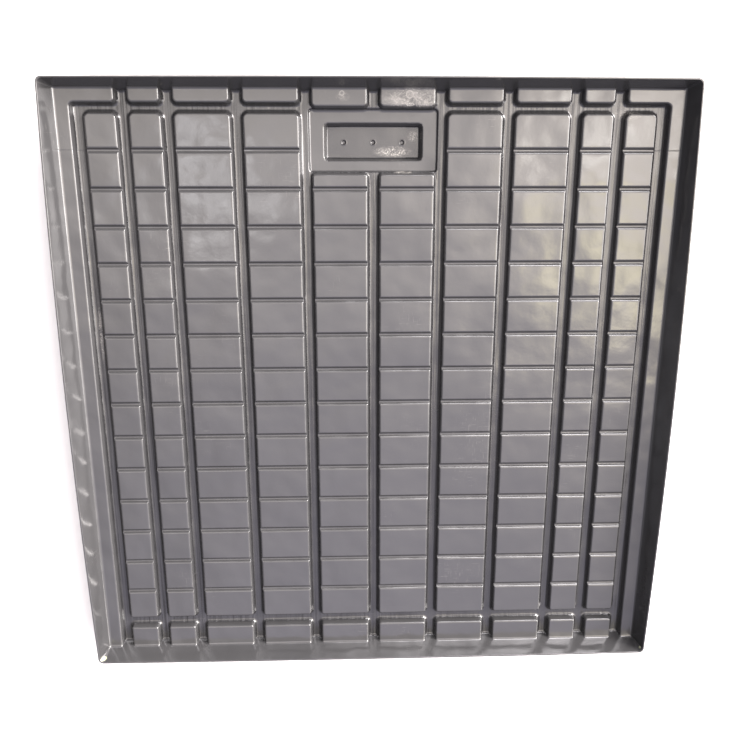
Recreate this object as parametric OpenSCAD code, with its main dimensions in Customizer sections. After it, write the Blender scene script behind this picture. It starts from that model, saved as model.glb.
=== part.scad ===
// Flood tray for hydroponic growing: one square sheet of black plastic, formed into raised pads,
// water channels and a sump, with a low wall all round. Millimetres, +Z up.
// The origin is on the centre line, level with the underside of the sump well.
// +Y is the sump end, -Y the far end, and left and right are as seen with +Y pointing away.
// Each formed region of the sheet is a solid of its own, and neighbours meet face to face.

/* [Sheet] */
// Thickness of the formed sheet
sheet = 3.2; // [2.4:0.1:4]
// Draft of the raised pads, blocks, ledges and the sump frame, from vertical
draft = 12; // [8:1:18]

/* [Walls] */
// Inside length and width of the tray at the foot of its walls
base_size = 1220; // [1216:1:1240]
// Height of the wall above the ledges
wall_h = 43; // [30:1:60]
// Lean of the walls, from vertical
wall_draft = 16; // [10:1:22]
// How far the left and right walls bow outwards at the middle of the rim
side_bow = 9; // [0:0.5:12]
// How far the end walls bow outwards at the middle of the rim
end_bow = 2; // [0:0.5:12]

/* [Pads and channels] */
// Width of a wide pad strip, measured at channel floor level
wide_foot = 114.2; // [112:0.1:114.2]
// Width of a narrow pad strip, measured at channel floor level
narrow_foot = 67.2; // [60:0.1:67.2]
// Width of the floor of a channel between two strips
channel_floor_w = 18.6; // [14:0.1:18.6]
// Depth of the channels below the ledges and end blocks
channel_depth = 18; // [14:0.5:22]
// How much lower the pads are than the ledges
pad_drop = 2; // [0:0.5:4]
// Number of rows of pads
row_count = 15; // [13:1:15]
// Distance from one row of pads to the next
row_pitch = 74; // [70:0.5:74]
// Width of the cross grooves that part the rows
groove_w = 10; // [9:0.5:12]
// Depth of the cross grooves
groove_depth = 5; // [3:0.5:6]
// Lean of the sides of the cross grooves, from vertical
groove_draft = 30; // [15:1:32]

/* [End blocks] */
// Length of a block at the sump end, at channel floor level
block_foot = 30.8; // [28:0.1:34]
// Length of the two blocks beside the sump, at channel floor level
sump_block_foot = 37.8; // [35:0.1:42]
// Width of the floor of the cross channel at the sump end
sump_cross_floor_w = 12.8; // [10:0.1:16]
// Width of the floor of the cross channel at the far end
far_cross_floor_w = 18.6; // [14:0.1:20]

/* [Sump] */
// Width of the recessed frame round the sump well
frame_w = 254; // [252:1:258]
// Length of the recessed frame
frame_l = 119; // [112:1:120]
// Depth of the frame below the channel floors
frame_step = 5; // [3:0.5:8]
// Width of the mouth of the sump well
well_w = 195; // [160:1:210]
// Length of the mouth of the sump well
well_l = 71.5; // [60:0.5:80]
// Distance of the middle of the well from the foot of the sump end wall
well_inset = 100; // [97:0.5:102]
// Depth of the well below the frame
well_depth = 20; // [14:0.5:30]
// Draft of the well, from vertical
well_draft = 15; // [10:1:20]
// Distance between the drilling marks in the well floor
mark_pitch = 58.5; // [50:0.5:70]
// Diameter of a drilling mark
mark_d = 10; // [6:0.5:12]
// Depth of a drilling mark
mark_depth = 1.5; // [0.5:0.1:2]

/* [Hidden] */
$fn = 48;
strip_count = 10;
narrow_each_side = 2;
sump_left_strip = strip_count / 2;
wall_stations = 16;
over = 1; // how far a cutting form runs past what it cuts
far_beyond = 2 * base_size;
flat_before_frame = 2; // level floor between the strips behind the sump and its frame
mark_floor_d = mark_d / 2;
plastic = "#2d2d31";

half = base_size / 2;
z_well = sheet;
z_frame = z_well + well_depth;
z_floor = z_frame + frame_step;
z_ledge = z_floor + channel_depth;
z_pad = z_ledge - pad_drop;
z_rim = z_ledge + wall_h;

lip = sheet / cos(draft);            // level thickness of a drafted side
wall_lip = sheet / cos(wall_draft);  // level thickness of a wall
well_lip = sheet / cos(well_draft);  // level thickness of the well's sides
pad_inset = (z_pad - z_floor) * tan(draft);
// Outer face of the end walls at channel floor level
y_end = half - channel_depth * tan(wall_draft) + wall_lip;

// Strips are numbered 1 to 10 from left to right. Edges are measured at channel floor level.
function strip_foot(i) =
    i <= narrow_each_side || i > strip_count - narrow_each_side ? narrow_foot : wide_foot;
function strips_w(i) = i == 0 ? 0 : strips_w(i - 1) + strip_foot(i) + channel_floor_w;
strips_total = strips_w(strip_count) - channel_floor_w;
function strip_left(i) = strips_w(i - 1) - strips_total / 2;
function strip_right(i) = strip_left(i) + strip_foot(i);
ledge_foot_x = strips_total / 2 + channel_floor_w;

function beside_sump(i) = i == sump_left_strip || i == sump_left_strip + 1;
function block_front(i) = half - (beside_sump(i) ? sump_block_foot : block_foot);
strip_top = half - block_foot - sump_cross_floor_w;
strip_bottom = strip_top - row_count * row_pitch + groove_w - 2 * pad_inset;
far_block_front = strip_bottom - far_cross_floor_w;
frame_top = half - sump_block_foot;
frame_bottom = frame_top - frame_l;
function strip_end(i) = beside_sump(i) ? frame_bottom - flat_before_frame : strip_top;
well_y = half - well_inset;

// Middle of the cross groove behind row r
function groove_y(r) = strip_top - pad_inset - r * row_pitch + groove_w / 2;

function between(v, low, high) = v > low && v < high;

// Extrudes an X-Z outline from y0 to y1
module along_y(y0, y1) {
    translate([0, y1, 0]) rotate([90, 0, 0]) linear_extrude(y1 - y0) children();
}

// Extrudes a Y-Z outline from x0 to x1
module along_x(x0, x1) {
    translate([x0, 0, 0]) rotate([90, 0, 90]) linear_extrude(x1 - x0) children();
}

// Level plate between two corners
module plate(x0, x1, y0, y1, z_top) {
    translate([x0, y0, z_top - sheet]) cube([x1 - x0, y1 - y0, sheet]);
}

// Outline of a raised form or its hollow: skin is 0 for the form and the sheet for the hollow
module raised_outline(a0, a1, z_top, skin) {
    z0 = skin > 0 ? z_floor - over : z_floor;
    z1 = z_top - skin;
    in0 = (z0 - z_floor) * tan(draft) + skin / cos(draft);
    in1 = (z1 - z_floor) * tan(draft) + skin / cos(draft);
    polygon([[a0 + in0, z0], [a1 - in0, z0], [a1 - in1, z1], [a0 + in1, z1]]);
}

// Form with four drafted sides, standing on channel floor level
module raised(x0, x1, y0, y1, z_top, skin = 0) {
    intersection() {
        along_y(y0 - over, y1 + over) raised_outline(x0, x1, z_top, skin);
        along_x(x0 - over, x1 + over) raised_outline(y0, y1, z_top, skin);
    }
}

// Sunken form with four drafted sides: the pocket itself, or its outside when skin is the sheet
module pocket(x0, x1, y0, y1, z_top, depth, angle, skin = 0) {
    run = (depth + skin) * tan(angle) - skin / cos(angle);
    lift = skin > 0 ? 0 : over;
    rise = lift * tan(angle);
    start = skin / cos(angle);
    z0 = z_top - depth - skin;
    intersection() {
        along_y(y0 - far_beyond, y1 + far_beyond)
            polygon([[x0 + run, z0], [x1 - run, z0],
                     [x1 + start + rise, z_top + lift], [x0 - start - rise, z_top + lift]]);
        along_x(x0 - far_beyond, x1 + far_beyond)
            polygon([[y0 + run, z0], [y1 - run, z0],
                     [y1 + start + rise, z_top + lift], [y0 - start - rise, z_top + lift]]);
    }
}

// Cross section of a groove: skin is 0 for the groove and the sheet for the rib under it
module groove_outline(y, skin) {
    low = groove_depth + skin;
    top_half = groove_w / 2 + skin / cos(groove_draft);
    low_half = top_half - low * tan(groove_draft);
    rise = over * tan(groove_draft);
    polygon([[y - low_half, z_pad - low], [y + low_half, z_pad - low],
             [y + top_half + rise, z_pad + over], [y - top_half - rise, z_pad + over]]);
}

module grooves(i, skin) {
    for (r = [1 : row_count - 1])
        if (groove_y(r) < strip_end(i) - row_pitch / 4)
            along_x(strip_left(i) - over, strip_right(i) + over) groove_outline(groove_y(r), skin);
}

// Raised strip of pads, hollow underneath
module pad_strip(i) {
    color(plastic)
    difference() {
        raised(strip_left(i), strip_right(i), strip_bottom, strip_end(i), z_pad);
        grooves(i, 0);
        difference() {
            raised(strip_left(i), strip_right(i), strip_bottom, strip_end(i), z_pad, sheet);
            grooves(i, sheet);
        }
    }
}

// Inner face of an end wall carried down below ledge level, and what lies inside a distance of it
function wall_y(z, skin) = half + (z - z_ledge) * tan(wall_draft) + skin;

// Keeps an end block in front of the end wall and of the wall's outer face below the ledges
module before_wall(front) {
    along_x(-half, half)
        polygon([[front - over, z_floor], [wall_y(z_floor, wall_lip), z_floor],
                 [wall_y(z_ledge - sheet, wall_lip), z_ledge - sheet],
                 [half, z_ledge - sheet], [half, z_ledge + over], [front - over, z_ledge + over]]);
}

// Block along an end wall at +Y, open at the back under the sheet
module end_block(x0, x1, front) {
    intersection() {
        difference() {
            raised(x0, x1, front, half + far_beyond, z_ledge);
            raised(x0, x1, front, half + far_beyond, z_ledge, sheet);
        }
        before_wall(front);
    }
}

module sump_end_block(i) {
    // The two corner blocks run into the ledges
    first = i == 1;
    last = i == strip_count;
    color(plastic)
    if (first || last)
        mirror([last ? 1 : 0, 0, 0])
            intersection() {
                end_block(-half - far_beyond, strip_right(1), block_front(1));
                translate([-ledge_foot_x, 0, 0]) cube([far_beyond, far_beyond, z_rim]);
            }
    else
        end_block(strip_left(i), strip_right(i), block_front(i));
}

module far_end_block(i) {
    color(plastic)
        mirror([0, 1, 0]) end_block(strip_left(i), strip_right(i), -far_block_front);
}

// Ledge along the left wall: a level top and a drafted side down to the channel floor
module ledge() {
    inner = -ledge_foot_x;
    color(plastic)
    intersection() {
        difference() {
            union() {
                raised(-half - far_beyond, inner, -half - far_beyond, half + far_beyond, z_ledge);
                end_block(-half - far_beyond, inner, block_front(1));
            }
            raised(-half - far_beyond, inner, -half - far_beyond, half + far_beyond, z_ledge, sheet);
        }
        translate([-half, -half, 0]) cube([half + inner, base_size, z_rim]);
        mirror([0, 1, 0]) before_wall(-half);
        before_wall(-half);
    }
}

module ledge_left() {
    ledge();
}

module ledge_right() {
    mirror([1, 0, 0]) ledge();
}

// Cross section of a wall: inner foot, inner rim, outer rim, outer foot, foot under the ledge
wall_outline = [
    [half, z_ledge],
    [wall_y(z_rim, 0), z_rim],
    [wall_y(z_rim, wall_lip), z_rim],
    [wall_y(z_ledge - sheet, wall_lip), z_ledge - sheet],
    [half, z_ledge - sheet]
];

// Wall on the +X side, mitred at both ends, whose rim bows outwards
module wall(bow) {
    n = len(wall_outline);
    points = [
        for (s = [0 : wall_stations], p = wall_outline)
            let (t = 2 * s / wall_stations - 1,
                 out = bow * (1 - t * t) * max(0, p[1] - z_ledge) / wall_h)
            [p[0] + out, t * p[0], p[1]]
    ];
    last = wall_stations * n;
    faces = concat(
        [[for (k = [0 : n - 1]) k]],
        [[for (k = [0 : n - 1]) last + n - 1 - k]],
        [for (s = [0 : wall_stations - 1], k = [0 : n - 1])
            let (a = s * n + k, b = s * n + (k + 1) % n)
            each [[a, a + n, b + n], [a, b + n, b]]]
    );
    color(plastic) polyhedron(points, faces);
}

// Foot of the +Y wall where a channel runs up to it, between channel edges at floor level
module wall_foot(x0, x1) {
    run = channel_depth * tan(draft);
    intersection() {
        along_x(x0 - run, x1 + run)
            polygon([[half, z_ledge], [wall_y(z_floor, 0), z_floor],
                     [wall_y(z_floor, wall_lip), z_floor],
                     [wall_y(z_ledge - sheet, wall_lip), z_ledge - sheet],
                     [half, z_ledge - sheet]]);
        along_y(0, 2 * half)
            polygon([[x0, z_floor], [x1, z_floor], [x1 + run, z_ledge], [x0 - run, z_ledge]]);
    }
}

module wall_feet() {
    for (i = [1 : strip_count - 1]) wall_foot(strip_right(i), strip_left(i + 1));
}

module wall_right() {
    wall(side_bow);
}

module wall_left() {
    rotate([0, 0, 180]) wall(side_bow);
}

module wall_sump_end() {
    rotate([0, 0, 90]) wall(end_bow);
    color(plastic) wall_feet();
}

module wall_far_end() {
    rotate([0, 0, -90]) wall(end_bow);
    color(plastic)
    mirror([0, 1, 0]) {
        wall_feet();
        wall_foot(-ledge_foot_x, strip_left(1));
        wall_foot(strip_right(strip_count), ledge_foot_x);
    }
}

// The frame's outside, which the channel floors stop at
module frame_outside() {
    pocket(-frame_w / 2, frame_w / 2, frame_bottom, frame_top, z_floor, frame_step, draft, sheet);
}

// Floor of the channel between strips i and i + 1
module channel(i) {
    x0 = strip_right(i) - lip;
    x1 = strip_left(i + 1) + lip;
    color(plastic)
    difference() {
        plate(x0, x1, -y_end, y_end, z_floor);
        frame_outside();
        if (i == sump_left_strip)
            translate([x0 - over, frame_bottom - flat_before_frame - lip, 0])
                cube([x1 - x0 + 2 * over, frame_l / 2, z_ledge]);
    }
}

// Floor of the channel between a ledge and the nearest strip
module channel_left() {
    color(plastic)
        plate(-ledge_foot_x - lip, strip_left(1) + lip, -y_end, block_front(1) + lip, z_floor);
}

module channel_right() {
    mirror([1, 0, 0]) channel_left();
}

// Floor of a cross channel, in one length for each strip
module cross_channel_sump_end() {
    color(plastic)
    for (i = [1 : strip_count])
        if (!beside_sump(i))
            plate(strip_left(i) + lip, strip_right(i) - lip, strip_top - lip,
                  block_front(i) + lip, z_floor);
}

module cross_channel_far_end() {
    color(plastic)
    for (i = [1 : strip_count])
        plate(strip_left(i) + lip, strip_right(i) - lip, far_block_front - lip,
              strip_bottom + lip, z_floor);
}

module well_outside() {
    pocket(-well_w / 2, well_w / 2, well_y - well_l / 2, well_y + well_l / 2,
           z_frame, well_depth, well_draft, sheet);
}

// Recessed frame round the mouth of the well
module sump_frame() {
    behind = frame_bottom - flat_before_frame - lip;
    reach = strip_left(sump_left_strip) + lip;
    color(plastic)
    difference() {
        union() {
            frame_outside();
            plate(reach, -reach, behind, frame_bottom, z_floor);
        }
        pocket(-frame_w / 2, frame_w / 2, frame_bottom, frame_top, z_floor, frame_step, draft);
        well_outside();
    }
}

// Sump well, with shallow marks where a fitting may be drilled
module sump_well() {
    color(plastic)
    difference() {
        well_outside();
        pocket(-well_w / 2, well_w / 2, well_y - well_l / 2, well_y + well_l / 2,
               z_frame, well_depth, well_draft);
        for (k = [-1 : 1])
            translate([k * mark_pitch, well_y, z_well - mark_depth])
                cylinder(h = mark_depth + over, d1 = mark_floor_d,
                         d2 = mark_floor_d + (mark_d - mark_floor_d) * (mark_depth + over) / mark_depth);
    }
}

wall_left();
wall_right();
wall_sump_end();
wall_far_end();
ledge_left();
ledge_right();
for (i = [1 : strip_count]) {
    sump_end_block(i);
    far_end_block(i);
    pad_strip(i);
}
channel_left();
channel_right();
for (i = [1 : strip_count - 1])
    channel(i);
cross_channel_sump_end();
cross_channel_far_end();
sump_frame();
sump_well();
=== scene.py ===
"""Hydroponic flood tray: one formed sheet of glossy black plastic.

The sheet is drawn as a height over a grid whose lines follow every bend, once for its upper face and
once for its underside, and is then parted into the same regions as the CAD nodes.
Lengths are in millimetres until the meshes are made.
"""

import math

import bpy
import numpy as np
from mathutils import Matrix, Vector


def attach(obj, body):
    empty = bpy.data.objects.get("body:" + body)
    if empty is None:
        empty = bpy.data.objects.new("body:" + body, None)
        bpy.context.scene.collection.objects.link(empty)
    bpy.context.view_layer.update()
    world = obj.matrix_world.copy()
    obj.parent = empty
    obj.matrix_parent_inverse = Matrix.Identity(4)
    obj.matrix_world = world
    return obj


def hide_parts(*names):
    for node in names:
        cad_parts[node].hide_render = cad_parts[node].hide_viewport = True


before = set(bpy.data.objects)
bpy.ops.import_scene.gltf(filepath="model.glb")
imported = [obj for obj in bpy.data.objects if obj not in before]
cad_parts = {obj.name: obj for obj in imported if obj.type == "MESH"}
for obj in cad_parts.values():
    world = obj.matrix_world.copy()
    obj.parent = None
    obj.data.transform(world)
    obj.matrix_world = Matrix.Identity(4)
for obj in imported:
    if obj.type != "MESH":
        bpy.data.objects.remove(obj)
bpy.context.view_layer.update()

# ---------------------------------------------------------------- sizes, as in the CAD model
SHEET = 3.2
DRAFT, WALL_DRAFT, WELL_DRAFT, GROOVE_DRAFT = 12.0, 16.0, 15.0, 30.0
HALF = 610.0
WALL_H = 43.0
SIDE_BOW, END_BOW = 9.0, 2.0
WIDE, NARROW, CHANNEL = 114.2, 67.2, 18.6
Z_WELL, Z_FRAME, Z_FLOOR, Z_LEDGE = 3.2, 23.2, 28.2, 46.2
BLOCK_RISE = Z_LEDGE - Z_FLOOR
PAD_RISE = BLOCK_RISE - 2.0
FRAME_STEP = Z_FLOOR - Z_FRAME
WELL_DEPTH = Z_FRAME - Z_WELL
ROWS, PITCH, GROOVE_W, GROOVE_DEPTH = 15, 74.0, 10.0, 5.0
BLOCK_FOOT, SUMP_BLOCK_FOOT = 30.8, 37.8
SUMP_CROSS, FAR_CROSS = 12.8, 18.6
FRAME_W, FRAME_L = 254.0, 119.0
WELL_W, WELL_L, WELL_Y = 195.0, 71.5, 510.0
MARKS, MARK_R = (-58.5, 0.0, 58.5), 5.0

# ---------------------------------------------------------------- what the CAD model leaves out
MARK_DEPTH, MARK_LIP, MARK_LIP_W = 2.0, 0.5, 1.1  # drilling marks: a little deeper, with a raised lip
HAIRLINE, HAIRLINE_W = 0.35, 0.7  # the mould's joint, across the ledges and side channels
# Bend radii on the upper face, and the corners of the forms in plan
LOW_R, HIGH_R = 6.5, 4.0
FRAME_LOW_R, FRAME_HIGH_R, WALL_R = 2.4, 3.6, 5.5
GROOVE_LOW_R, GROOVE_HIGH_R = 2.4, 4.0
WELL_LOW_R, WELL_HIGH_R = 2.6, 3.6
PAD_CORNER, PAD_CORNER_SUMP, BLOCK_CORNER, BLOCK_CORNER_FAR = 8.0, 13.0, 11.0, 8.0
POCKET_CORNER, WELL_CORNER, LEDGE_CORNER = 6.0, 5.0, 6.0
RIM_CORNER = 0.6  # share of the wall's width that its corner arc takes
# The sheet is never quite even: every pad leans a little its own way, and so does every column
PAD_LEAN = 0.007
COLUMN_LEAN = (0.0, -0.003, 0.003, 0.0, 0.008, -0.005, 0.009, 0.003, -0.003, 0.003)
TINY = 1e-6

FEET = [NARROW] * 2 + [WIDE] * 6 + [NARROW] * 2
TOTAL = sum(FEET) + 9 * CHANNEL
LEFT = [sum(FEET[:i]) + i * CHANNEL - TOTAL / 2 for i in range(10)]
RIGHT = [left + foot for left, foot in zip(LEFT, FEET)]
LEDGE_FOOT = TOTAL / 2 + CHANNEL
tan12 = math.tan(math.radians(DRAFT))
STRIP_TOP = HALF - BLOCK_FOOT - SUMP_CROSS
STRIP_BOTTOM = STRIP_TOP - ROWS * PITCH + GROOVE_W - 2 * PAD_RISE * tan12
FAR_FRONT = STRIP_BOTTOM - FAR_CROSS
FRAME_TOP = HALF - SUMP_BLOCK_FOOT
FRAME_BOTTOM = FRAME_TOP - FRAME_L
SHORT_TOP = FRAME_BOTTOM - 2.0
ROWS_TOP = STRIP_TOP - PAD_RISE * tan12 + GROOVE_W / 2
GROOVES = [ROWS_TOP - r * PITCH for r in range(1, ROWS)]
WALL_FOOT = HALF - BLOCK_RISE * math.tan(math.radians(WALL_DRAFT))
FRAME_RUN = FRAME_STEP * tan12
WELL_RUN = WELL_DEPTH * math.tan(math.radians(WELL_DRAFT))
GROOVE_RUN = GROOVE_DEPTH * math.tan(math.radians(GROOVE_DRAFT))
MIDDLE = (4, 5)  # the two columns behind the sump
LEAN = np.random.default_rng(11).normal(0.0, PAD_LEAN, (10, ROWS, 2))
LEAN[:, :, 0] += np.array(COLUMN_LEAN)[:, None]


# ---------------------------------------------------------------- heights
def bend(d, rise, low_r, high_r, draft):
    """A formed step with rounded bends: 0 up to its foot at d = 0, and rise beyond its top."""
    slope = math.radians(90 - draft)
    low_t, high_t = low_r * math.tan(slope / 2), high_r * math.tan(slope / 2)
    run = rise / math.tan(slope)
    z = np.clip(d * math.tan(slope), 0, rise)
    low = (d > -low_t) & (d < low_t * math.cos(slope))
    z = np.where(low, low_r - np.sqrt(np.clip(low_r ** 2 - (d + low_t) ** 2, 0, None)), z)
    high = (d > run - high_t * math.cos(slope)) & (d < run + high_t)
    drop = np.sqrt(np.clip(high_r ** 2 - (run + high_t - d) ** 2, 0, None))
    return np.where(high, rise - high_r + drop, z)


def both(a, b, r):
    """Distance inside both of two edges, with the corner between them rounded in plan."""
    near = (a < r) & (b < r)
    return np.where(near, r - np.hypot(r - a, r - b), np.minimum(a, b))


def either(a, b, r):
    """Distance inside either of two edges, with the corner between them rounded in plan."""
    return -both(-a, -b, r)


def surface(x, y, under):
    """Height of the upper face, or of the underside, over points that aren't on the walls."""
    t = SHEET if under else 0.0

    def step(d, rise, draft=DRAFT, low_r=LOW_R, high_r=HIGH_R):
        a = math.radians(draft)
        return bend(d - t * (1 - math.sin(a)) / math.cos(a), rise, low_r + t, high_r - t, draft)

    # recessed frame, sump well and its drilling marks
    frame_y = np.abs(y - (FRAME_TOP + FRAME_BOTTOM) / 2)
    frame_in = both(FRAME_W / 2 - FRAME_RUN - np.abs(x), FRAME_L / 2 - FRAME_RUN - frame_y, POCKET_CORNER)
    ground = step(-frame_in, FRAME_STEP, DRAFT, FRAME_LOW_R, FRAME_HIGH_R) - FRAME_STEP
    well_y = np.abs(y - WELL_Y)
    well_in = both(WELL_W / 2 - WELL_RUN - np.abs(x), WELL_L / 2 - WELL_RUN - well_y, WELL_CORNER)
    ground = ground + step(-well_in, WELL_DEPTH, WELL_DRAFT, WELL_LOW_R, WELL_HIGH_R) - WELL_DEPTH
    if not under:
        for mx in MARKS:
            r = np.hypot(x - mx, y - WELL_Y)
            s = np.clip((MARK_R - r) / (MARK_R / 2), 0, 1)
            lip = MARK_LIP * np.exp(-((r - MARK_R) / MARK_LIP_W) ** 2)
            ground = ground - MARK_DEPTH * s * s * (3 - 2 * s) + lip
    z = ground

    # pad strips with their cross grooves
    cut = np.full_like(z, PAD_RISE)
    for gy in GROOVES:
        d = np.abs(y - gy) - (GROOVE_W / 2 - GROOVE_RUN)
        floor = PAD_RISE - GROOVE_DEPTH
        cut = np.minimum(cut, floor + step(d, GROOVE_DEPTH, GROOVE_DRAFT, GROOVE_LOW_R, GROOVE_HIGH_R))
    for i in range(10):
        end = SHORT_TOP if i in MIDDLE else STRIP_TOP
        sump_corner = PAD_CORNER if i in MIDDLE else PAD_CORNER_SUMP
        corner = np.where(y > end - PITCH / 2, sump_corner, PAD_CORNER)
        s = both(np.minimum(x - LEFT[i], RIGHT[i] - x), np.minimum(y - STRIP_BOTTOM, end - y), corner)
        # the two short strips end right beside the frame: their bend tightens over the last 22 mm
        near_frame = np.clip((y - end + 22) / 14, 0, 1) if i in MIDDLE else 0.0
        low = LOW_R + (FRAME_LOW_R - LOW_R) * near_frame
        face = step(s, PAD_RISE, DRAFT, low)
        strip = np.where(y > end - PITCH / 4, face, np.minimum(face, cut))
        # each pad's own lean, fading out down its sides
        row = np.clip((ROWS_TOP - y) // PITCH, 0, ROWS - 1).astype(int)
        off = x - (LEFT[i] + RIGHT[i]) / 2, y - (ROWS_TOP - (row + 0.5) * PITCH)
        on_pad = np.clip((strip - PAD_RISE + GROOVE_DEPTH) / GROOVE_DEPTH, 0, 1)
        strip = strip + on_pad * (LEAN[i, row, 0] * off[0] + LEAN[i, row, 1] * off[1])
        z = np.where(strip > TINY, np.maximum(z, strip), z)

    # ledges, and the blocks along both end walls
    ledge = np.abs(x) - LEDGE_FOOT
    side = np.abs(x) - (TOTAL / 2 - NARROW)
    corner_block = both(side, y - (HALF - BLOCK_FOOT), BLOCK_CORNER)
    raised = step(either(ledge, corner_block, LEDGE_CORNER), BLOCK_RISE)
    for i in range(10):
        across = np.minimum(x - LEFT[i], RIGHT[i] - x)
        raised = np.maximum(raised, step(both(across, FAR_FRONT - y, BLOCK_CORNER_FAR), BLOCK_RISE))
        if i in MIDDLE:
            # the fronts of these two go straight down into the recessed frame, their sides don't
            s = both(across, y - FRAME_TOP, BLOCK_CORNER)
            w = np.clip((across + 2) / 4, 0, 1)
            deep = step(s + FRAME_RUN, BLOCK_RISE + FRAME_STEP) - FRAME_STEP
            blend = w * deep + (1 - w) * (step(s, BLOCK_RISE) + np.minimum(ground, 0))
            z = np.where((across > -LOW_R) & (s > -FRAME_RUN - LOW_R), np.maximum(z, blend), z)
        elif 0 < i < 9:
            raised = np.maximum(raised, step(both(across, y - (HALF - BLOCK_FOOT), BLOCK_CORNER), BLOCK_RISE))
    z = np.where(raised > 0, np.maximum(z, raised), z)
    hairline = HAIRLINE * np.exp(-((y - GROOVES[0]) / HAIRLINE_W) ** 2)
    z = z - hairline * (np.abs(x) > TOTAL / 2)

    # where the walls meet the ledges and blocks, and run down into the slots between blocks
    up = 10 * WALL_H  # past the rim, so that the step has no top bend
    side_wall = step(np.abs(x) - HALF, up, WALL_DRAFT, WALL_R)
    end_wall = step(np.abs(y) - HALF, up, WALL_DRAFT, WALL_R)
    lift = np.maximum(side_wall, end_wall)
    slot = step(np.abs(y) - WALL_FOOT, up, WALL_DRAFT)
    z = z + np.clip(z / BLOCK_RISE, 0, 1) * lift
    return np.maximum(z, np.where(slot > 0, slot, z)) + Z_FLOOR - t


# ---------------------------------------------------------------- grid lines
def edge(foot, way, rise, draft=DRAFT, low_r=LOW_R, high_r=HIGH_R, low_n=4, high_n=5):
    """Grid lines across one bend pair: places on the upper face, and the same points on the underside."""
    slope = math.radians(90 - draft)
    run = rise / math.tan(slope)
    start, end = -low_r * math.tan(slope / 2), run + high_r * math.tan(slope / 2)
    low_turns = [slope * k / low_n for k in range(low_n + 1)]
    high_turns = [slope * k / high_n for k in range(high_n, -1, -1)]
    low = [(start + low_r * math.sin(a), a) for a in low_turns]
    high = [(end - high_r * math.sin(a), a) for a in high_turns]
    middle = [(run / 2, slope)] if high[0][0] - low[-1][0] > 1 else []
    return [(foot + way * d, foot + way * (d + SHEET * math.sin(a))) for d, a in low + middle + high]


def plain(*places):
    """Grid lines at places where the sheet is level."""
    return [(p, p) for p in places]


FILLET = 6  # wall lines that round the wall's foot; their height comes from surface()
WALL_LINES = (8.0, 17.0, 26.0, 34.5, WALL_H - 0.9)
RIM_EDGE = ((0.2, 0.22), (0.8, 0.0))  # inset and drop of the lines that round the trimmed rim
RIM_FLARE = 0.05  # the outer edge of the trimmed rim stands out by this much


def wall_profile():
    """(offset from the wall's foot, height) up the wall's inner face, and up its outer face."""
    a = math.radians(WALL_DRAFT)
    slope = math.radians(90) - a
    start = -WALL_R * math.tan(slope / 2)
    inner, outer = [], []
    for k in range(FILLET):
        s = slope * k / (FILLET - 1)
        o, z = start + WALL_R * math.sin(s), WALL_R * (1 - math.cos(s))
        inner.append((o, z))
        outer.append((o + SHEET * math.sin(s), z - SHEET * math.cos(s)))
    lip = SHEET / math.cos(a)
    for z in WALL_LINES:
        inner.append((z * math.tan(a), z))
        outer.append((z * math.tan(a) + lip, z))
    top = WALL_H * math.tan(a)
    for inset, drop in RIM_EDGE:
        inner.append((top + inset, WALL_H - drop))
        outer.append((top + lip - inset + RIM_FLARE, WALL_H - drop))
    return inner, outer


INNER, OUTER = wall_profile()
START = INNER[0][0]
CLOSE, CLOSE_UNDER = 0.12, 0.02  # grid lines nearer than this to the one before are left out
CLEAR = 0.05  # and so are those nearer than this to the wall's


def lines(inside):
    """Sorted grid lines from wall to wall, with the wall lines outside them."""
    inside = sorted(set((round(a, 4), round(b, 4)) for a, b in inside if abs(a) < HALF + START - CLEAR))
    kept = [inside[0]]
    for p in inside[1:]:
        if p[0] - kept[-1][0] > CLOSE and p[1] - kept[-1][1] > CLOSE_UNDER:
            kept.append(p)
    wall = [(HALF + i[0], HALF + o[0]) for i, o in zip(INNER, OUTER)]
    return np.array([(-a, -b) for a, b in reversed(wall)] + kept + wall)


def corner_lines(foot, way, reach):
    """Lines past a bend, out to where the rounding of its corner in plan ends."""
    return plain(*[foot + way * reach * k / 5 for k in (3.2, 3.8, 4.4, 5)])


x_inside = plain(0.0)
for i in range(10):
    x_inside += edge(LEFT[i], 1, PAD_RISE) + edge(RIGHT[i], -1, PAD_RISE)
    x_inside += corner_lines(LEFT[i], 1, PAD_CORNER_SUMP) + corner_lines(RIGHT[i], -1, PAD_CORNER_SUMP)
    x_inside += plain((LEFT[i] + RIGHT[i]) / 2)
for way in (-1, 1):
    x_inside += edge(way * LEDGE_FOOT, way, BLOCK_RISE)
    x_inside += edge(way * (WELL_W / 2 - WELL_RUN), way, WELL_DEPTH, WELL_DRAFT, WELL_LOW_R, WELL_HIGH_R)
    x_inside += edge(way * (FRAME_W / 2 - FRAME_RUN), way, FRAME_STEP, DRAFT, FRAME_LOW_R, FRAME_HIGH_R)
MARK_LINES = [MARK_R * k / 6 for k in range(-9, 10)]
for mx in MARKS:
    x_inside += plain(*[mx + off for off in MARK_LINES])

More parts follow.
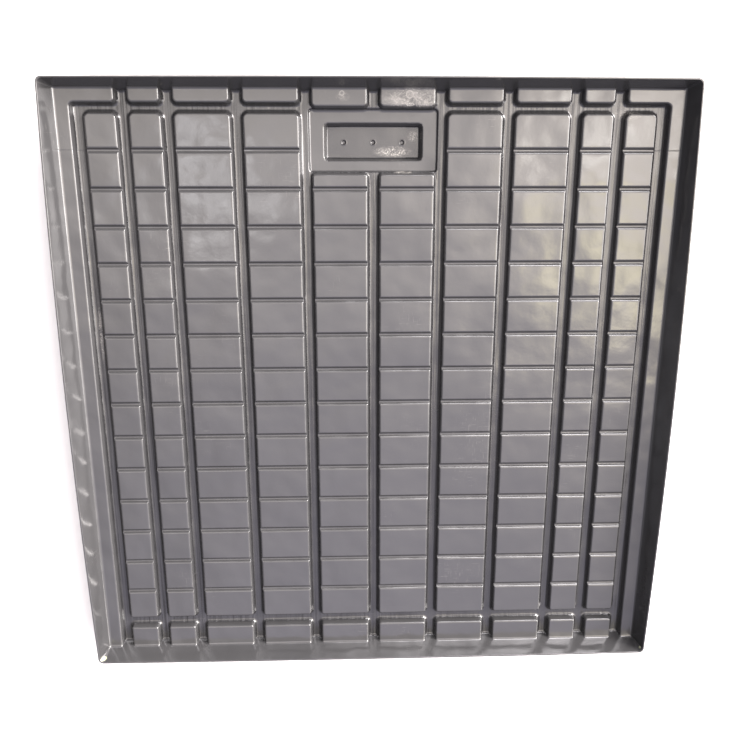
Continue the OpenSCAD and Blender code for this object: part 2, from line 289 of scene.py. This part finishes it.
y_inside = edge(STRIP_TOP, -1, PAD_RISE) + edge(STRIP_BOTTOM, 1, PAD_RISE)
y_inside += edge(SHORT_TOP, -1, PAD_RISE, DRAFT, FRAME_LOW_R)
y_inside += edge(HALF - BLOCK_FOOT, 1, BLOCK_RISE) + edge(FAR_FRONT, -1, BLOCK_RISE)
y_inside += corner_lines(STRIP_TOP, -1, PAD_CORNER_SUMP) + corner_lines(STRIP_BOTTOM, 1, PAD_CORNER)
y_inside += corner_lines(HALF - BLOCK_FOOT, 1, BLOCK_CORNER) + corner_lines(SHORT_TOP, -1, PAD_CORNER_SUMP)
y_inside += edge(FRAME_TOP - FRAME_RUN, 1, BLOCK_RISE + FRAME_STEP)
y_inside += edge(FRAME_BOTTOM + FRAME_RUN, -1, FRAME_STEP, DRAFT, FRAME_LOW_R, FRAME_HIGH_R)
for way in (-1, 1):
    well_foot = WELL_Y + way * (WELL_L / 2 - WELL_RUN)
    y_inside += edge(well_foot, way, WELL_DEPTH, WELL_DRAFT, WELL_LOW_R, WELL_HIGH_R)
    y_inside += edge(way * WALL_FOOT, way, BLOCK_RISE, WALL_DRAFT, high_n=1)
y_inside += plain(*[WELL_Y + off for off in MARK_LINES])
y_inside += plain(*[GROOVES[0] + 0.6 * k for k in range(-3, 4)])  # across the hairline
for gy in GROOVES:
    for way in (-1, 1):
        y_inside += edge(gy + way * (GROOVE_W / 2 - GROOVE_RUN), way, GROOVE_DEPTH, GROOVE_DRAFT,
                         GROOVE_LOW_R, GROOVE_HIGH_R, 2, 3)
    y_inside += plain(gy + PITCH / 2)

X, Y = lines(x_inside), lines(y_inside)
NX, NY, K = len(X), len(Y), len(INNER)


def skin(under):
    """Places of all grid points on one face of the sheet."""
    side = 1 if under else 0
    x, y = np.meshgrid(X[:, side], Y[:, side], indexing="ij")
    z = surface(x, y, under)
    profile = np.array(OUTER if under else INNER)
    # wall lines above the fillet stand at their own heights
    ix, iy = np.arange(NX), np.arange(NY)
    level_x = np.maximum(K - 1 - ix, ix - (NX - K))
    level_y = np.maximum(K - 1 - iy, iy - (NY - K))
    level = np.maximum(level_x[:, None], level_y[None, :])
    on_wall = level >= FILLET
    z = np.where(on_wall, Z_LEDGE + profile[np.clip(level, 0, K - 1), 1], z)
    # rounded corners: each level of the wall is an arc between two straights
    lx, ly = np.clip(level_x, 0, None)[:, None], np.clip(level_y, 0, None)[None, :]
    corner = (level_x[:, None] >= 0) & (level_y[None, :] >= 0)
    top = np.maximum(lx, ly)
    share = np.minimum(lx, ly) / np.maximum(top, 1)
    length = share * ((1 - RIM_CORNER) + RIM_CORNER * math.pi / 4)
    angle = np.clip((length - (1 - RIM_CORNER)) / RIM_CORNER, 0, math.pi / 4)
    along = np.minimum(length, 1 - RIM_CORNER) + RIM_CORNER * np.sin(angle)
    out = 1 - RIM_CORNER + RIM_CORNER * np.cos(angle)
    reach = profile[top, 0] - profile[0, 0]
    px = HALF + profile[0, 0] + reach * np.where(lx >= ly, out, along)
    py = HALF + profile[0, 0] + reach * np.where(lx >= ly, along, out)
    x, y = np.where(corner, np.sign(x) * px, x), np.where(corner, np.sign(y) * py, y)
    z = np.where(corner, Z_LEDGE + profile[top, 1], z)
    # the rim bows outwards between its corners
    high = np.clip((z - Z_LEDGE) / WALL_H, 0, 1)
    bow_x = SIDE_BOW * np.clip(1 - (y / HALF) ** 2, 0, 1) * high * (level_x[:, None] >= 0)
    bow_y = END_BOW * np.clip(1 - (x / HALF) ** 2, 0, 1) * high * (level_y[None, :] >= 0)
    return np.stack([x + np.sign(x) * bow_x, y + np.sign(y) * bow_y, z], -1).reshape(-1, 3)


# ---------------------------------------------------------------- the sheet, parted into regions
def region(x, y):
    """The CAD node that a place on the sheet belongs to."""
    if x < -HALF or x > HALF:
        return "wall_left" if x < 0 else "wall_right"
    if y > HALF or y < -HALF:
        return "wall_sump_end" if y > 0 else "wall_far_end"
    if abs(x) > LEDGE_FOOT:
        return "ledge_left" if x < 0 else "ledge_right"
    column = next((i for i in range(10) if LEFT[i] < x < RIGHT[i]), None)
    front = FRAME_TOP if column in MIDDLE else HALF - BLOCK_FOOT
    if column in (0, 9) and y > front or abs(x) > TOTAL / 2 and y > HALF - BLOCK_FOOT:
        return "sump_end_block_1" if x < 0 else "sump_end_block_10"
    if column is not None and y > front:
        return f"sump_end_block_{column + 1}"
    if abs(x) < FRAME_W / 2 and FRAME_BOTTOM < y < FRAME_TOP:
        inside = abs(x) < WELL_W / 2 and abs(y - WELL_Y) < WELL_L / 2
        return "sump_well" if inside else "sump_frame"
    if column is not None:
        if y < FAR_FRONT:
            return f"far_end_block_{column + 1}"
        if y < STRIP_BOTTOM:
            return "cross_channel_far_end"
        if y > STRIP_TOP:
            return "cross_channel_sump_end"
        if column in MIDDLE and y > SHORT_TOP:
            return "sump_frame"
        return f"pad_strip_{column + 1}"
    if abs(y) > WALL_FOOT:
        return "wall_sump_end" if y > 0 else "wall_far_end"
    if abs(x) > TOTAL / 2:
        return "channel_left" if x < 0 else "channel_right"
    if abs(x) < CHANNEL and SHORT_TOP < y < FRAME_BOTTOM:
        return "sump_frame"
    return f"channel_{sum(1 for i in range(10) if x > RIGHT[i])}"


def vertex_normals(co, faces):
    """Normals weighted by area, so that wide flats stay flat right up to their bends."""
    n = np.cross(co[faces[:, 2]] - co[faces[:, 0]], co[faces[:, 3]] - co[faces[:, 1]])
    total = np.zeros_like(co)
    for k in range(4):
        np.add.at(total, faces[:, k], n)
    return total / np.maximum(np.linalg.norm(total, axis=1, keepdims=True), TINY)


def on_rim(quads, under):
    """Which closing faces stand on the trimmed rim, and not between two regions."""
    gi, gj = quads[:, :2] % under // NY, quads[:, :2] % under % NY
    return np.isin(gi, (0, NX - 1)).all(axis=1) | np.isin(gj, (0, NY - 1)).all(axis=1)


def build_sheet():
    """One closed skin for each CAD node, all cut from the same two faces of the sheet."""
    co = np.concatenate([skin(False), skin(True)])
    under = NX * NY
    i, j = np.meshgrid(np.arange(NX - 1), np.arange(NY - 1), indexing="ij")
    a = (i * NY + j).ravel()
    upper = np.stack([a, a + NY, a + NY + 1, a + 1], 1)
    lower = upper[:, ::-1] + under
    xc, yc = (X[1:, 0] + X[:-1, 0]) / 2, (Y[1:, 0] + Y[:-1, 0]) / 2
    names = sorted(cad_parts)
    number = {n: k for k, n in enumerate(names)}
    owner = np.array([[number[region(x, y)] for y in yc] for x in xc])

    # closing faces: the trimmed rim, and where one region ends and the next begins
    closing, closing_owner = [], []
    padded = np.full((NX + 1, NY + 1), -1)
    padded[1:-1, 1:-1] = owner
    neighbours = (padded[:-1, 1:-1], padded[1:, 1:-1]), (padded[1:-1, :-1], padded[1:-1, 1:])
    for axis, (first, second) in enumerate(neighbours):
        gi, gj = np.nonzero(first != second)
        p = gi * NY + gj
        q = p + (1 if axis == 0 else NY)
        for mine, flip in ((first, axis == 1), (second, axis == 0)):
            who = mine[gi, gj]
            quad = np.stack([p, q, q + under, p + under], 1)
            quad = quad[:, ::-1] if not flip else quad
            use = who >= 0
            closing.append(quad[use])
            closing_owner.append(who[use])
    closing, closing_owner = np.concatenate(closing), np.concatenate(closing_owner)

    smooth = np.concatenate([upper, lower, closing[on_rim(closing, under)]])
    normals = vertex_normals(co, smooth)

    pieces = []
    flat_owner = owner.ravel()
    for name in names:
        k = number[name]
        mine = np.concatenate([upper[flat_owner == k], lower[flat_owner == k], closing[closing_owner == k]])
        used, index = np.unique(mine, return_inverse=True)
        index = index.reshape(-1)
        mesh = bpy.data.meshes.new(name + "_skin")
        mesh.vertices.add(len(used))
        mesh.vertices.foreach_set("co", (co[used] / 1000).astype(np.float32).ravel())
        mesh.loops.add(len(index))
        mesh.loops.foreach_set("vertex_index", index.astype(np.int32))
        mesh.polygons.add(len(mine))
        mesh.polygons.foreach_set("loop_start", np.arange(0, len(index), 4, dtype=np.int32))
        mesh.polygons.foreach_set("use_smooth", np.ones(len(mine), bool))
        mesh.update(calc_edges=True)
        mesh.validate()
        mesh.normals_split_custom_set_from_vertices(normals[used].astype(np.float32))
        piece = bpy.data.objects.new(name + "_skin", mesh)
        bpy.context.scene.collection.objects.link(piece)
        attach(piece, "root")
        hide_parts(name)
        pieces.append(piece)
    return pieces


# ---------------------------------------------------------------- black formed plastic
# These tables are in metres, as the shader is.
# Scuffed places, the first of them (the block beside the sump) also a painted reflection: centre, reach along
# x, y and z, and how strongly
SCUFF_AND_SHEEN_PLACES = (
    ((0.078, 0.590, 0.046), (0.072, 0.024, 0.02), 1.0),    # block beside the sump
    ((-0.060, 0.594, 0.046), (0.016, 0.010, 0.02), 0.45),  # its neighbour
    ((0.040, 0.492, 0.003), (0.042, 0.012, 0.01), 1.0),    # floor of the well
    ((0.080, 0.522, 0.003), (0.012, 0.012, 0.01), 0.8),
    ((0.060, 0.452, 0.028), (0.022, 0.004, 0.01), 0.8),    # rim of the sump frame
    ((-0.568, 0.130, 0.030), (0.005, 0.075, 0.02), 0.7),   # left side channel
    ((0.500, 0.562, 0.040), (0.030, 0.012, 0.03), 0.5),    # sump end, right
)
# Ring marks on the blocks beside the sump: centre, radius and how strongly
RINGS = (
    ((0.070, 0.598, Z_LEDGE / 1000), 0.0065, 0.45),
    ((-0.061, 0.600, Z_LEDGE / 1000), 0.004, 0.3),
)
RING_W = 0.0016
# Whitened chips at two corners of the rim: centre and reach
CHIPS = (
    ((-0.6200, -0.6185, 0.080), (0.013, 0.0050, 0.010)),
    ((0.6190, -0.6160, 0.081), (0.0035, 0.0030, 0.004)),
)
# Fine scratches: scale of the noise, its stretch, its turn in plan, and the band of it that shows
SCRATCHES = (
    (60.0, (16.0, 0.8, 1.0), 0.5, (0.66, 0.73)),
    (52.0, (0.8, 13.0, 1.0), -0.3, (0.66, 0.74)),
)
BLACK_LOW, BLACK_HIGH = (0.021, 0.021, 0.022, 1), (0.028, 0.0275, 0.028, 1)
# the recess black is a painted shade, laid over the channels and the well
RECESS_SHADE_BLACK, SCUFF_AND_SHEEN_PALE, CHIPPED = (0.008, 0.008, 0.009, 1), (0.42, 0.40, 0.37, 1), (0.20, 0.21, 0.14, 1)
# the haze share also sets the painted reflection on the block beside the sump
RECESS_SHADE_SHARE, HAZE_AND_SHEEN_SHARE, MARK_SHARE = 0.6, 0.22, 0.8  # how far each replaces the black
ROUGH_LOW, ROUGH_HIGH, DULL_ROUGH, MARK_ROUGH = 0.10, 0.18, 0.10, 0.3  # the last two are added
REFRACTION = 1.54
# Slow waves of a formed sheet, its dimples and its orange peel: scale, strength and height
WAVES = ((7.0, 1.0, 0.006), (45.0, 0.4, 0.0006), (900.0, 0.15, 0.0001))
DRAWN_BUMP, MARK_BUMP = (0.8, 0.0022), (0.3, 0.0002)


def plastic():
    mat = bpy.data.materials.new("black_formed_plastic")
    mat.use_nodes = True
    nodes, links = mat.node_tree.nodes, mat.node_tree.links
    shader = nodes["Principled BSDF"]
    place = nodes.new("ShaderNodeTexCoord").outputs["Object"]

    def plug(socket, value):
        if isinstance(value, bpy.types.NodeSocket):
            links.new(value, socket)
        else:
            socket.default_value = value

    def mapped(stretch, turn=(0, 0, 0), move=(0, 0, 0)):
        n = nodes.new("ShaderNodeMapping")
        plug(n.inputs["Vector"], place)
        for key, value in zip(("Scale", "Rotation", "Location"), (stretch, turn, move)):
            n.inputs[key].default_value = value
        return n.outputs["Vector"]

    def noise(scale, detail=2.0, rough=0.5, vector=None):
        n = nodes.new("ShaderNodeTexNoise")
        plug(n.inputs["Vector"], vector or place)
        for key, value in zip(("Scale", "Detail", "Roughness"), (scale, detail, rough)):
            n.inputs[key].default_value = value
        return n.outputs["Fac"]

    def remap(value, low, high, to_low=0.0, to_high=1.0):
        n = nodes.new("ShaderNodeMapRange")
        n.inputs["From Min"].default_value = low
        n.inputs["From Max"].default_value = high
        n.inputs["To Min"].default_value = to_low
        n.inputs["To Max"].default_value = to_high
        plug(n.inputs["Value"], value)
        return n.outputs["Result"]

    def combine(kind, a, b):
        n = nodes.new("ShaderNodeMath")
        n.operation = kind
        plug(n.inputs[0], a)
        plug(n.inputs[1], b)
        return n.outputs["Value"]

    def mix(amount, a, b):
        n = nodes.new("ShaderNodeMix")
        n.data_type = "RGBA"
        for socket, value in zip((n.inputs[0], n.inputs[6], n.inputs[7]), (amount, a, b)):
            plug(socket, value)
        return n.outputs[2]

    def patch(centre, reach):
        """1 at a place, falling to 0 at its reach."""
        stretch = [1 / r for r in reach]
        n = nodes.new("ShaderNodeTexGradient")
        n.gradient_type = "SPHERICAL"
        plug(n.inputs["Vector"], mapped(stretch, move=[-c * k for c, k in zip(centre, stretch)]))
        return n.outputs["Fac"]

    def ring(centre, radius, strength):
        """A thin circle round a place."""
        n = nodes.new("ShaderNodeVectorMath")
        n.operation = "DISTANCE"
        plug(n.inputs[0], place)
        n.inputs[1].default_value = centre
        off = combine("ABSOLUTE", combine("SUBTRACT", n.outputs["Value"], radius), 0.0)
        return remap(off, 0.0, RING_W, strength, 0.0)

    # fine scratches, in worn patches all over and at the scuffed places
    scratch = 0.0
    for scale, stretch, turn, band in SCRATCHES:
        streaks = noise(scale, vector=mapped(stretch, (0, 0, turn)))
        scratch = combine("MAXIMUM", scratch, remap(streaks, *band))
    worn = remap(noise(6.0, 3.0, 0.6), 0.58, 0.80, 0.0, 0.2)
    flecks = remap(noise(520.0, 3.0, 0.7), 0.50, 0.66)
    scuff_and_sheen = 0.0
    # scuffed places, one of them also a painted reflection on the block beside the sump
    for centre, reach, strength in SCUFF_AND_SHEEN_PLACES:
        here = combine("MULTIPLY", remap(patch(centre, reach), 0.0, 0.6), strength)
        scuff_and_sheen = combine("MAXIMUM", scuff_and_sheen, here)
    ragged = combine("MULTIPLY", scuff_and_sheen, remap(noise(130.0, 4.0, 0.65), 0.38, 0.62))
    haze_and_sheen = combine("MULTIPLY", scuff_and_sheen, remap(noise(45.0, 3.0, 0.6), 0.40, 0.64))
    marks = combine("MAXIMUM", combine("MULTIPLY", scratch, worn), combine("MULTIPLY", ragged, flecks))
    for centre, radius, strength in RINGS:
        marks = combine("MAXIMUM", marks, ring(centre, radius, strength))
    chips = 0.0
    for centre, reach in CHIPS:
        chips = combine("MAXIMUM", chips, patch(centre, reach))
    chips = remap(combine("ADD", chips, remap(noise(260.0, 3.0, 0.6), 0.0, 1.0, -0.2, 0.2)), 0.16, 0.26)
    whitened = combine("MAXIMUM", marks, chips)

    # the channels and the well are rougher, and painted darker as shade in the recesses; draw lines run along
    # the channels
    apart = nodes.new("ShaderNodeSeparateXYZ")
    plug(apart.inputs[0], place)
    height = combine("MULTIPLY", apart.outputs["Z"], 1000.0)
    above_frame = remap(height, Z_FLOOR - 2, Z_FLOOR - 1)
    below_pads = remap(height, Z_FLOOR + 2, Z_FLOOR + 8, 1.0, 0.0)
    deep = combine("MULTIPLY", above_frame, below_pads)
    drawn = combine("MULTIPLY", deep, noise(22.0, 2.0, 0.5, mapped((6.0, 0.15, 0.2))))
    deep = combine("MAXIMUM", deep, remap(height, Z_WELL + 1, Z_WELL + 8, 1.0, 0.0))

    colour = mix(noise(3.0, 4.0, 0.6), BLACK_LOW, BLACK_HIGH)
    # painted shade: the channels and the well darkened towards the recess black
    colour = mix(combine("MULTIPLY", deep, RECESS_SHADE_SHARE), colour, RECESS_SHADE_BLACK)
    # pale haze at the scuffed places; on the block beside the sump it is a painted reflection over real
    # scratches
    colour = mix(combine("MULTIPLY", haze_and_sheen, HAZE_AND_SHEEN_SHARE), colour, SCUFF_AND_SHEEN_PALE)
    colour = mix(combine("MULTIPLY", marks, MARK_SHARE), colour, SCUFF_AND_SHEEN_PALE)
    colour = mix(chips, colour, CHIPPED)
    plug(shader.inputs["Base Color"], colour)

    rough = remap(noise(9.0, 5.0, 0.65), 0.3, 0.7, ROUGH_LOW, ROUGH_HIGH)
    rough = combine("ADD", rough, combine("MULTIPLY", deep, DULL_ROUGH))
    rough = combine("ADD", rough, combine("MULTIPLY", whitened, MARK_ROUGH))
    plug(shader.inputs["Roughness"], rough)
    shader.inputs["IOR"].default_value = REFRACTION

    bumps = [(noise(scale), strength, distance) for scale, strength, distance in WAVES]
    bumps += [(drawn, *DRAWN_BUMP), (whitened, *MARK_BUMP)]
    normal = None
    for relief, strength, distance in bumps:
        n = nodes.new("ShaderNodeBump")
        n.inputs["Strength"].default_value = strength
        n.inputs["Distance"].default_value = distance
        plug(n.inputs["Height"], relief)
        if normal:
            plug(n.inputs["Normal"], normal)
        normal = n.outputs["Normal"]
    plug(shader.inputs["Normal"], normal)
    return mat


def floor_material():
    mat = bpy.data.materials.new("pale_floor")
    mat.use_nodes = True
    nodes, links = mat.node_tree.nodes, mat.node_tree.links
    shader = nodes["Principled BSDF"]
    shader.inputs["Roughness"].default_value = 0.85
    shader.inputs["Specular IOR Level"].default_value = 0.2
    noise = nodes.new("ShaderNodeTexNoise")
    noise.inputs["Scale"].default_value = 1.5
    ramp = nodes.new("ShaderNodeValToRGB")
    ramp.color_ramp.elements[0].color = (0.53, 0.53, 0.53, 1)
    ramp.color_ramp.elements[1].color = (0.56, 0.56, 0.56, 1)
    links.new(noise.outputs["Fac"], ramp.inputs["Fac"])
    links.new(ramp.outputs["Color"], shader.inputs["Base Color"])
    return mat


black = plastic()
for piece in build_sheet():
    piece.data.materials.append(black)

# ---------------------------------------------------------------- floor, light and camera
FLOOR = 40.0  # metres from the middle to each side
floor_mesh = bpy.data.meshes.new("floor")
corners = [(-FLOOR, -FLOOR, 0), (FLOOR, -FLOOR, 0), (FLOOR, FLOOR, 0), (-FLOOR, FLOOR, 0)]
floor_mesh.from_pydata(corners, [], [(0, 1, 2, 3)])
floor = bpy.data.objects.new("floor", floor_mesh)
bpy.context.scene.collection.objects.link(floor)
floor_mesh.materials.append(floor_material())

# The studio is a sum of glows, each given by the way it lies, how tight it is and its colour times its
# brightness
GLOWS = (
    ((0.80, 0.44, 0.34), 40, (128.0, 121.0, 117.0)),
    ((0.30, 0.90, 0.34), 40, (34.0, 32.5, 33.0)),
    ((0.90, 0.05, 0.42), 25, (22.0, 21.0, 20.5)),
    ((0.72, 0.00, 0.70), 14, (7.5, 7.0, 6.6)),
    ((0.40, 0.05, 1.00), 40, (7.2, 6.4, 5.6)),
    ((-0.25, 0.15, 1.00), 20, (2.0, 1.8, 1.5)),
    ((0.00, 0.20, 1.00), 8, (3.2, 3.0, 2.95)),
    ((0.05, -0.65, 1.00), 9, (1.55, 1.48, 1.85)),
    ((0.32, 0.04, 1.00), 2500, (11.0, 11.0, 10.5)),  # three small lamps overhead
    ((-0.18, -0.01, 1.00), 3000, (11.0, 11.0, 11.5)),
    ((-0.16, -0.06, 1.00), 3000, (7.0, 7.0, 7.0)),
    ((0.38, -0.16, 1.00), 500, (5.0, 4.5, 3.0)),  # warm and yellow patches over the right side
    ((0.33, -0.12, 1.00), 500, (2.6, 2.3, 0.2)),
    ((0.00, 0.00, 1.00), 0, (0.07, 0.07, 0.14)),  # the even light of the room
)
BACKDROP, BACKDROP_FADE = (0.78, 0.78, 0.80), 4.0


def studio():
    world = bpy.data.worlds.new("studio")
    world.use_nodes = True
    nodes, links = world.node_tree.nodes, world.node_tree.links
    way = nodes.new("ShaderNodeTexCoord").outputs["Generated"]

    def node(kind, operation, *values):
        n = nodes.new(kind)
        n.operation = operation
        for socket, value in zip([s for s in n.inputs if s.enabled], values):
            if isinstance(value, bpy.types.NodeSocket):
                links.new(value, socket)
            else:
                socket.default_value = value
        return next(s for s in n.outputs if s.enabled)

    def add_glow(total, power, colour):
        glow = node("ShaderNodeVectorMath", "SCALE", colour, node("ShaderNodeMath", "EXPONENT", power))
        return node("ShaderNodeVectorMath", "ADD", total, glow) if total else glow

    total = None
    for direction, tight, colour in GLOWS:
        dot = node("ShaderNodeVectorMath", "DOT_PRODUCT", way, Vector(direction).normalized())
        total = add_glow(total, node("ShaderNodeMath", "MULTIPLY_ADD", dot, tight, -tight), colour)
    # the pale backdrop stands all round and fades upwards
    upward = node("ShaderNodeVectorMath", "DOT_PRODUCT", way, (0, 0, 1))
    rise = node("ShaderNodeMath", "POWER", upward, 2.0)
    total = add_glow(total, node("ShaderNodeMath", "MULTIPLY", rise, -BACKDROP_FADE), BACKDROP)
    links.new(total, nodes["Background"].inputs["Color"])
    bpy.context.scene.world = world


studio()
bpy.context.scene.view_settings.view_transform = "Standard"

camera = bpy.data.cameras.new("camera")
camera.sensor_width = 36
camera.lens = 37.06
camera_object = bpy.data.objects.new("camera", camera)
bpy.context.scene.collection.objects.link(camera_object)
camera_object.location = (-0.0495, 0.4755, 1.6214)
camera_object.rotation_euler = [math.radians(a) for a in (-15.54, -1.90, 0.02)]
bpy.context.scene.camera = camera_object

bpy.context.view_layer.update()
